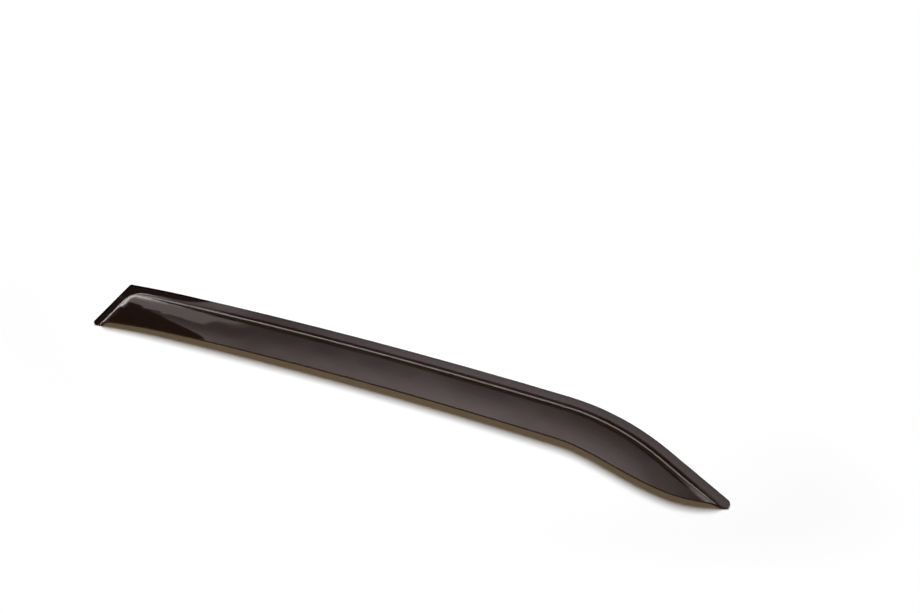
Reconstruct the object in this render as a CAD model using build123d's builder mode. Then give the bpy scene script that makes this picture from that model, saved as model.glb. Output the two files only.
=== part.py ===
"""Window rain deflector: one formed sheet of smoked acrylic for the top of a car's side window.

A flat flange is glued to the window frame. From it a sloping riser climbs to a rounded ridge, and the blade
reaches out over the window to its free edge. Flange and riser turn round the blunt end. The other end runs out
into a swept tip. The blade sinks a little at both ends.

X runs from the blunt end to the tip, Y points to the flange's outer edge and Z away from the car. The back of
the flange lies on Z = 0, and the origin is in the middle of the footprint.
"""

import os
from math import cos, degrees, isclose, radians, sin, tan

from build123d import *

# Sheet and section
sheet = 3.0
flange_width = 10.0
riser_angle = 50.0
ridge_height = 17.0
ridge_radius = 12.5
root_radius = 2.0
depth = 60.8
blade_lift = 1.5
crown_radius = 490.0

# Outer edge of the flange in plan: two gentle arcs, the bend and the straight run to the tip
start_heading = 4.0
shoulder_radius = 1250.0
shoulder_length = 70.0
roof_radius = 6150.0
roof_length = 468.0
bend_radius = 247.0
bend_angle = 27.4
tip_run = 85.6
tip_radius = 5.0

# Free edge in plan: depth in from the flange's outer edge, wider at the blunt end and sweeping in to the tip
blunt_flare = 1.5
bend_waist = 0.8
sweep_depth = 54.9
tip_depth = 39.6
tip_station = 38.5
sweep_end_heading = 10.0

# Blunt end
end_lean = 12.5
corner_radius = 9.0
flange_corner_radius = 3.0

# Sinking of the blade: at the low corner of the blunt end, and from before the tip to past it
corner_sink_length = 180.0
corner_sink_depth = 5.5
tip_sink_reach = 56.0
tip_sink_length = 75.0
tip_sink_depth = 7.5

# Spare stock of the formers past the trimmed outline
overrun = 60.0
margin = 3.0
section_step = 25.0
section_spans = 8
level_tolerance = 0.02

# Derived sizes
rise = ridge_height - sheet
slope = tan(radians(riser_angle))
ridge_inset = flange_width + rise / slope
shoulder_angle = degrees(shoulder_length / shoulder_radius)
roof_angle = degrees(roof_length / roof_radius)
edge_length = shoulder_length + roof_length + radians(bend_angle) * bend_radius + tip_run
stock = shoulder_length + roof_length + bend_radius + tip_run + 4 * overrun


def direction(angle):
    """Unit vector in plan, at an angle from X."""
    return Vector(cos(radians(angle)), sin(radians(angle)))


def flange_edge(inset, run):
    """Lead-in, shoulder, roof, bend and tip run of the flange's outer edge, moved inwards by inset."""
    begin = direction(start_heading - 90) * inset
    lead = Line(begin - direction(start_heading) * overrun, begin)
    shoulder = JernArc(begin, direction(start_heading), shoulder_radius - inset, -shoulder_angle)
    roof = JernArc(shoulder @ 1, shoulder % 1, roof_radius - inset, -roof_angle)
    bend = JernArc(roof @ 1, roof % 1, bend_radius - inset, -bend_angle)
    tip = Line(bend @ 1, (bend @ 1) + (bend % 1) * run)
    return lead, shoulder, roof, bend, tip


def inside(edge, position, inset):
    """Point square in from an edge of the flange."""
    return (edge @ position) + (edge % position).rotate(Axis.Z, -90) * inset


def past_blunt_end(inset):
    """Stock on the tip's side of the blunt end, moved inwards by inset."""
    with Locations(Location(direction(-end_lean) * inset, (0, 0, -end_lean))):
        Rectangle(stock, stock, align=(Align.MIN, Align.CENTER))


def footprint(inset, corner):
    """Region inside the flange's outer edge and the blunt end, moved inwards, open past the free edge."""
    with BuildSketch() as region:
        past_blunt_end(inset)
        with BuildLine():
            edges = flange_edge(inset, tip_run + 2 * overrun)
            first = edges[0] @ 0
            last = edges[-1] @ 1
            Polyline(last, (last.X, last.Y - overrun), (first.X, last.Y - overrun), first)
        make_face(mode=Mode.INTERSECT)
        fillet(region.vertices().sort_by_distance((inset, -inset))[0], corner)
    return region.sketch


def blade_height(along, inset):
    """Height of the blade's outer face at a distance along the flange and in from its outer edge."""
    across = (inset - ridge_inset) / (depth - ridge_inset)
    crown = (inset - ridge_inset) * (depth - inset) / (2 * crown_radius)
    sunk = max(0.0, across - along / corner_sink_length)
    fall = min(max(0.0, (along - edge_length + tip_sink_reach) / tip_sink_length), 1.0)
    sinks = corner_sink_depth * sunk**2 + tip_sink_depth * fall**2 * (3 - 2 * fall)
    return ridge_height + blade_lift * across + crown - sinks


def lid(skin):
    """Block whose top is the blade's outer face (skin = sheet) or its inner face (skin = 0)."""
    with BuildLine() as edge:
        flange_edge(0, tip_run + overrun)
    path = edge.wire()
    spans = round(path.length / section_step)
    reach = depth + blunt_flare + margin
    insets = [reach * i / section_spans for i in range(section_spans + 1)]
    with BuildPart() as block:
        for i in range(spans + 1):
            along = path.length * i / spans - overrun
            tangent = path % (i / spans)
            section = Plane(path @ (i / spans), x_dir=tangent.rotate(Axis.Z, -90), z_dir=-tangent)
            with BuildSketch(section):
                with BuildLine():
                    top = Spline(*[(inset, blade_height(along, inset) - sheet + skin) for inset in insets])
                    Polyline(top @ 1, (reach, -margin), (0, -margin), top @ 0)
                make_face()
        loft()
    return block.part


def former(skin):
    """Solid under the sheet's outer face (skin = sheet) or under its inner face (skin = 0)."""
    inward = (sheet - skin) * tan(radians(riser_angle / 2))

    def is_riser(face):
        return isclose(face.normal_at().Z, cos(radians(riser_angle)), abs_tol=level_tolerance)

    with BuildPart() as solid:
        with BuildSketch(Plane.XY.offset(skin)):
            add(footprint(flange_width + inward, corner_radius + rise / slope - inward))
        extrude(amount=rise + blade_lift + margin, taper=90 - riser_angle)
        add(lid(skin), mode=Mode.INTERSECT)
        blade = solid.faces().sort_by(Axis.Z)[-1]
        fillet(blade.edges() & solid.faces().filter_by(is_riser).edges(), ridge_radius - sheet + skin)
        with BuildSketch(Plane.XY.offset(skin)):
            Rectangle(2 * stock, 2 * stock)
        extrude(amount=-(skin + margin))
        root = solid.faces().filter_by(is_riser).edges().filter_by_position(Axis.Z, skin, skin)
        fillet(root, root_radius + sheet - skin)
    return solid.part


def outline():
    """Trimmed outline in plan."""
    with BuildSketch() as plan:
        past_blunt_end(0)
        with BuildLine():
            lead, _, roof, bend, tip = flange_edge(0, tip_run)
            free = Spline(
                inside(lead, 0, depth + blunt_flare),
                inside(roof, 0, depth),
                inside(bend, 0, depth - bend_waist),
                tangents=[lead % 0, roof % 0, bend % 0],
            )
            Spline(
                free @ 1,
                inside(bend, 0.5, depth),
                inside(bend, 1, sweep_depth),
                inside(tip, tip_station / tip_run, tip_depth),
                tip @ 1,
                tangents=[bend % 0, direction(sweep_end_heading)],
            )
            Line(lead @ 0, free @ 0)
        make_face(mode=Mode.INTERSECT)
        fillet(plan.vertices().sort_by(Axis.X)[-1], tip_radius)
        fillet(plan.vertices().sort_by_distance((0, 0))[0], flange_corner_radius)
        fillet(plan.vertices().sort_by(Axis.X)[0], flange_corner_radius)
    return plan.sketch


with BuildPart() as blank:
    add(former(sheet))
    add(former(0), mode=Mode.SUBTRACT)
    with BuildSketch():
        add(outline())
    extrude(amount=ridge_height + blade_lift + margin, mode=Mode.INTERSECT)

middle = blank.part.bounding_box().center()
with BuildPart() as deflector:
    with Locations((-middle.X, -middle.Y)):
        add(blank.part)

os.makedirs("parts", exist_ok=True)
deflector.part.label = "deflector"
export_step(deflector.part, "parts/deflector.step")
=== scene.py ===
from math import cos, radians, sin

import bpy
from mathutils import Matrix, Vector

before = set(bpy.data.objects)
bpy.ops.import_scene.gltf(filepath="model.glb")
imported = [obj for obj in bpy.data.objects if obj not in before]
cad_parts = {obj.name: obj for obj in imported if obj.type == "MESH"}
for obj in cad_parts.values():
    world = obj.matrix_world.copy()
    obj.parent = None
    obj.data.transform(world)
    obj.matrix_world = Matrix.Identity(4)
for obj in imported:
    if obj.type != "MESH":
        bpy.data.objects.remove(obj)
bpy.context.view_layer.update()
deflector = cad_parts["deflector"]
scene = bpy.context.scene

# Acrylic: places are metres in the part's own coordinates
acrylic_index = 1.49
body_colour = (0.001, 0.0006, 0.002, 1.0)
gloss_tint = (1.0, 0.85, 0.89, 1.0)
smoke_tint = (0.310, 0.258, 0.194, 1.0)
polish = (0.02, 0.06)
polish_scale = 45.0
polish_detail = 4.0
ripple_scale = 16.0
ripple_detail = 1.0
ripple_strength = 0.12
ripple_height = 0.002

# Cut edges: faces steeper than the riser, told by how far their normal points up or down. Their dull, opaque
# dark colour is partly the matte milled edge and partly painted shade, standing in for the light that clear
# acrylic traps inside its edges and for the shadowed floor they reflect.
cut_edge_dull_and_shade = (0.045, 0.028, 0.016, 1.0)
cut_edge_rise = (0.25, 0.45)

# Slight warp of the flange beside the blunt end
warp_along = (-0.25, -0.17)
warp_across = (0.027, 0.057)
warp_top = (0.004, 0.007)
warp_height = 0.0018

# Floor: white paper, shown as plain white outside an oval round the part
floor_size = 8.0
floor_drop = 0.0001
paper_shade = (0.955, 0.965)
grain_scale = 30.0
grain_detail = 2.0
white_stretch = (0.28, 1.0, 1.0)
white_reach = (0.115, 0.155)

# Softbox overhead and behind, and its lamp over the part
softbox_height = 2.0
softbox_plan = [(-1.75, 1.145), (-1.27, 1.50), (-1.0, 2.6), (0.4, 2.6), (1.67, 0.96), (0.53, -0.56)]
lamp_drop = 0.02
lamp_spot = (-0.05, 0.42)
lamp_size = (1.1, 1.2)
lamp_power = 50.0

# Room and backdrop
room_grey = (0.02, 0.02, 0.02, 1.0)
backdrop_white = (1.0, 1.0, 1.0, 1.0)

# Camera, worked out from the outlines in the photo
camera_place = (0.200482, -0.404711, 0.75295)
camera_yaw = radians(16.965)
camera_pitch = radians(53.7)
camera_roll = radians(1.0)
sensor_width = 36.0
focal_length = 31.109


class Graph:
    """Shader nodes of one material or world."""

    def __init__(self, owner):
        owner.use_nodes = True
        self.nodes = owner.node_tree.nodes
        self.links = owner.node_tree.links
        self.nodes.clear()

    def add(self, kind, inputs=None):
        """New node, each of whose inputs is a constant or the output of another node."""
        node = self.nodes.new(kind)
        for socket, value in (inputs or {}).items():
            if isinstance(value, bpy.types.NodeSocket):
                self.links.new(value, node.inputs[socket])
            else:
                node.inputs[socket].default_value = value
        return node

    def math(self, operation, *values):
        """Sum, product or the like of values."""
        node = self.add("ShaderNodeMath", dict(enumerate(values)))
        node.operation = operation
        return node.outputs["Value"]

    def vector(self, operation, *vectors):
        """Outputs of a step of vector arithmetic."""
        node = self.add("ShaderNodeVectorMath", dict(enumerate(vectors)))
        node.operation = operation
        return node.outputs

    def split(self, vector):
        """X, Y and Z of a vector."""
        return self.add("ShaderNodeSeparateXYZ", {"Vector": vector}).outputs

    def noise(self, place, scale, detail):
        """Soft random pattern."""
        node = self.add("ShaderNodeTexNoise", {"Vector": place, "Scale": scale, "Detail": detail})
        return node.outputs["Fac"]

    def ramp(self, value, span=(0.0, 1.0), results=(0.0, 1.0), smooth=False):
        """Value carried from a span to the results at its two ends, and held beyond them."""
        limits = {"From Min": span[0], "From Max": span[1], "To Min": results[0], "To Max": results[1]}
        node = self.add("ShaderNodeMapRange", {"Value": value, **limits})
        if smooth:
            node.interpolation_type = "SMOOTHSTEP"
        return node.outputs["Result"]

    def mix(self, share, first, second):
        """First shader at a share of 0, second at 1."""
        return self.add("ShaderNodeMixShader", {0: share, 1: first, 2: second}).outputs["Shader"]


def acrylic():
    """Polished brown-smoke acrylic: gloss over a tint that light passes through, and dull cut edges whose
    dark colour is partly painted shade.
    """
    material = bpy.data.materials.new("smoked_acrylic")
    graph = Graph(material)
    place = graph.add("ShaderNodeTexCoord").outputs

    spot = graph.split(place["Object"])
    near_end = graph.ramp(spot["X"], warp_along, (1.0, 0.0), smooth=True)
    low = graph.ramp(spot["Z"], warp_top, (1.0, 0.0))
    lean = graph.ramp(spot["Y"], warp_across)
    curl = graph.math("MULTIPLY", lean, lean)
    lift = graph.math("MULTIPLY", graph.math("MULTIPLY", near_end, low), curl)
    warp = graph.add("ShaderNodeBump", {"Strength": 1.0, "Distance": warp_height, "Height": lift})
    ripple = graph.noise(place["Object"], ripple_scale, ripple_detail)
    bump = graph.add("ShaderNodeBump", {
        "Strength": ripple_strength,
        "Distance": ripple_height,
        "Height": ripple,
        "Normal": warp.outputs["Normal"],
    })

    haze = graph.noise(place["Object"], polish_scale, polish_detail)
    gloss = graph.add("ShaderNodeBsdfPrincipled", {
        "Base Color": body_colour,
        "IOR": acrylic_index,
        "Specular Tint": gloss_tint,
        "Roughness": graph.ramp(haze, results=polish),
        "Normal": bump.outputs["Normal"],
    })
    smoke = graph.add("ShaderNodeBsdfTransparent", {"Color": smoke_tint})
    sheet = graph.add("ShaderNodeAddShader", {0: gloss.outputs["BSDF"], 1: smoke.outputs["BSDF"]})

    rise = graph.math("ABSOLUTE", graph.split(place["Normal"])["Z"])
    upright = graph.ramp(rise, cut_edge_rise, (1.0, 0.0))
    # Painted shade: the cut edges get an opaque dark diffuse colour in place of clear acrylic, partly their
    # matte finish and partly shade standing in for light trapped in the edge
    dull_shaded_edge = graph.add("ShaderNodeBsdfDiffuse", {"Color": cut_edge_dull_and_shade})
    looks = graph.mix(upright, sheet.outputs["Shader"], dull_shaded_edge.outputs["BSDF"])
    graph.add("ShaderNodeOutputMaterial", {"Surface": looks})
    return material


def paper():
    """White studio floor with the faintest grain; away from the part it shows as plain white."""
    material = bpy.data.materials.new("studio_floor")
    graph = Graph(material)
    place = graph.add("ShaderNodeTexCoord").outputs["Object"]
    shade = graph.ramp(graph.noise(place, grain_scale, grain_detail), results=paper_shade)
    lit = graph.add("ShaderNodeBsdfDiffuse", {"Color": shade})

    oval = graph.vector("MULTIPLY", place, white_stretch)["Vector"]
    far_out = graph.ramp(graph.vector("LENGTH", oval)["Value"], white_reach, smooth=True)
    rays = graph.add("ShaderNodeLightPath").outputs
    shown = graph.math("MAXIMUM", rays["Is Camera Ray"], rays["Is Glossy Ray"])
    shown = graph.math("MAXIMUM", shown, rays["Is Transmission Ray"])
    white = graph.add("ShaderNodeEmission")
    looks = graph.mix(graph.math("MULTIPLY", far_out, shown), lit.outputs["BSDF"], white.outputs["Emission"])
    graph.add("ShaderNodeOutputMaterial", {"Surface": looks})
    return material


def diffuser(hot_spot, stretch, reach, strengths):
    """Light cloth whose glow falls from the first strength to the second, over a reach from its hot spot."""
    material = bpy.data.materials.new("light_cloth")
    graph = Graph(material)
    place = graph.add("ShaderNodeNewGeometry").outputs["Position"]
    away = graph.vector("SUBTRACT", place, hot_spot)["Vector"]
    oval = graph.vector("MULTIPLY", away, stretch)["Vector"]
    fade = graph.ramp(graph.vector("LENGTH", oval)["Value"], reach, strengths, smooth=True)
    glow = graph.add("ShaderNodeEmission", {"Strength": fade})
    graph.add("ShaderNodeOutputMaterial", {"Surface": glow.outputs["Emission"]})
    return material


def panel(name, corners, cloth):
    """Flat light with the given corners that only the gloss shows."""
    mesh = bpy.data.meshes.new(name)
    mesh.from_pydata(corners, [], [range(len(corners))])
    mesh.materials.append(cloth)
    light = bpy.data.objects.new(name, mesh)
    light.visible_camera = False
    light.visible_diffuse = False
    scene.collection.objects.link(light)


def standing(left, right, bottom, left_top, right_top):
    """Corners of an upright panel over a line on the floor."""
    return [(*left, bottom), (*right, bottom), (*right, right_top), (*left, left_top)]


def area_light(name, place, size, power):
    """Rectangular soft light that shines straight down; neither camera nor gloss shows it."""
    light = bpy.data.lights.new(name, "AREA")
    light.shape = "RECTANGLE"
    light.size, light.size_y = size
    light.energy = power
    lamp = bpy.data.objects.new(name, light)
    lamp.location = place
    lamp.visible_camera = False
    lamp.visible_glossy = False
    scene.collection.objects.link(lamp)


def studio():
    """World that is white to the camera and a dim room in the gloss, as in the photo."""
    world = bpy.data.worlds.new("studio")
    graph = Graph(world)
    room = graph.add("ShaderNodeBackground", {"Color": room_grey})
    white = graph.add("ShaderNodeBackground", {"Color": backdrop_white})
    rays = graph.add("ShaderNodeLightPath").outputs
    looks = graph.mix(rays["Is Camera Ray"], room.outputs["Background"], white.outputs["Background"])
    graph.add("ShaderNodeOutputWorld", {"Surface": looks})
    return world


def photo_camera():
    """Camera in the photo's place, turned by yaw, tipped down by pitch and rolled about its own axis."""
    right = Vector((cos(camera_yaw), sin(camera_yaw), 0.0))
    ahead = Vector((-sin(camera_yaw), cos(camera_yaw), 0.0))
    forward = ahead * cos(camera_pitch) - Vector((0.0, 0.0, sin(camera_pitch)))
    upward = ahead * sin(camera_pitch) + Vector((0.0, 0.0, cos(camera_pitch)))
    frame_right = right * cos(camera_roll) - upward * sin(camera_roll)
    frame_up = right * sin(camera_roll) + upward * cos(camera_roll)

    lens = bpy.data.cameras.new("camera")
    lens.sensor_width = sensor_width
    lens.lens = focal_length
    camera = bpy.data.objects.new("camera", lens)
    turn = Matrix((frame_right, frame_up, -forward)).transposed().to_4x4()
    camera.matrix_world = Matrix.Translation(camera_place) @ turn
    scene.collection.objects.link(camera)
    return camera


# Looks of the part
deflector.data.materials.clear()
deflector.data.materials.append(acrylic())

# Floor
bpy.ops.mesh.primitive_plane_add(size=floor_size, location=(0.0, 0.0, -floor_drop))
floor = bpy.context.object
floor.name = "studio_floor"
floor.data.materials.append(paper())

# Softbox and lamp
panel(
    "softbox",
    [(x, y, softbox_height) for x, y in softbox_plan],
    diffuser(
        hot_spot=(-0.3, 0.5, softbox_height),
        stretch=(0.62, 1.0, 1.0),
        reach=(0.35, 1.12),
        strengths=(2.7, 0.45),
    ),
)
area_light("lamp", (*lamp_spot, softbox_height - lamp_drop), lamp_size, lamp_power)

# Tall soft lights behind, one at each end of the part
panel(
    "left_light",
    standing(left=(-2.578, 1.088), right=(-1.636, 2.152), bottom=0.0, left_top=2.34, right_top=2.88),
    diffuser(hot_spot=(-2.35, 1.35, 0.4), stretch=(1.0, 1.0, 1.0), reach=(0.6, 1.7), strengths=(6.0, 1.6)),
)
panel(
    "right_light",
    standing(left=(1.203, 2.236), right=(1.957, 1.764), bottom=0.1, left_top=2.4, right_top=2.4),
    diffuser(hot_spot=(1.9, 1.8, 1.0), stretch=(1.0, 1.0, 0.4), reach=(0.2, 0.85), strengths=(2.4, 0.0)),
)

# Room and camera
scene.world = studio()
scene.camera = photo_camera()
scene.view_settings.view_transform = "Standard"
